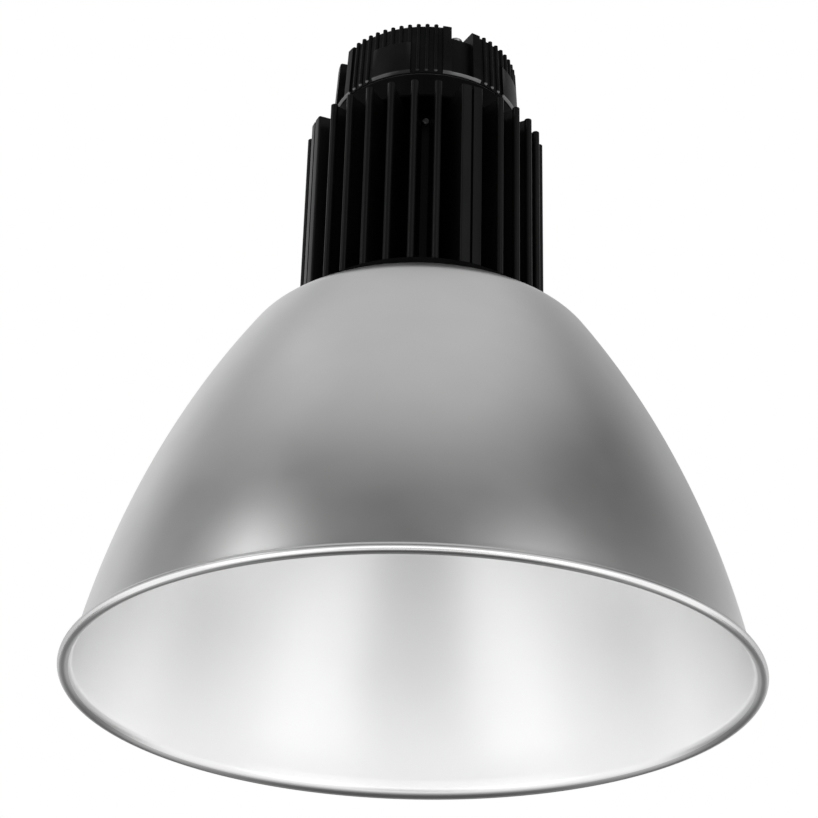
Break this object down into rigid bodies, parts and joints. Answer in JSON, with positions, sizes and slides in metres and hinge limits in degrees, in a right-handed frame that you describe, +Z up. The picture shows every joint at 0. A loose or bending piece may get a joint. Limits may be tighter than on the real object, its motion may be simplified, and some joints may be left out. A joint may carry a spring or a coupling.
{
  "type": "high bay light",
  "caption": "Pendant high bay light: a bell-shaped spun aluminium reflector under a black finned heat sink, with a ribbed round driver housing on top.",
  "frame": {"origin": "centre of the reflector's rim plane, the lowest point of the light", "axes": "+Z up the light's axis to the hanger thread; -Y is the front; the cable gland stands behind the hanger, 23 degrees from +Y towards +X"},
  "size_m": [0.42, 0.4198, 0.4718],
  "materials": {
    "spun_aluminium": "spun and anodised, satin",
    "black_extrusion": "black anodised, satin",
    "black_casting": "black powder coat, satin",
    "bare_aluminium": "turned",
    "steel": "zinc plated",
    "glass": "clear",
    "silicone": "matt",
    "white_silicone": "matt",
    "white_plastic": "moulded",
    "black_plastic": "moulded",
    "emitter": "phosphor on white ceramic",
    "circuit_board": "solder mask",
    "ferrite": "matt",
    "green_plastic": "moulded"
  },
  "bodies": {
    "root": {"reflector": "spun_aluminium", "reflector_washers": "steel", "reflector_screws": "steel", "base_plate": "black_extrusion", "base_plate_screws": "steel", "thermal_pad": "white_silicone", "led_emitter": "emitter", "led_holder": "white_plastic", "led_holder_screws": "steel", "lens_frame": "bare_aluminium", "lens_frame_screws": "steel", "lens_gasket": "white_silicone", "lens": "glass", "lens_spacer": "white_silicone", "heat_sink": "black_extrusion", "core_screw": "steel", "led_lead": "white_silicone", "lead_sleeve": "white_plastic", "neck_ring": "black_casting", "neck_ring_screws": "steel", "neck_gasket": "silicone", "driver_housing": "black_casting", "housing_washers": "steel", "housing_screws": "steel", "driver_board": "circuit_board", "driver_standoffs": "steel", "driver_board_screws": "steel", "driver_transformer": "ferrite", "driver_choke": "ferrite", "driver_capacitors": "black_plastic", "driver_heat_spreader": "bare_aluminium", "terminal_block": "green_plastic", "hanger_gasket": "silicone", "hanger_boss": "steel", "hanger_set_screw": "steel", "hanger_nut": "steel", "gland_gasket": "silicone", "gland_body": "black_plastic", "gland_lock_nut": "black_plastic", "gland_seal": "silicone", "gland_cap": "black_plastic"}
  },
  "joints": []
}
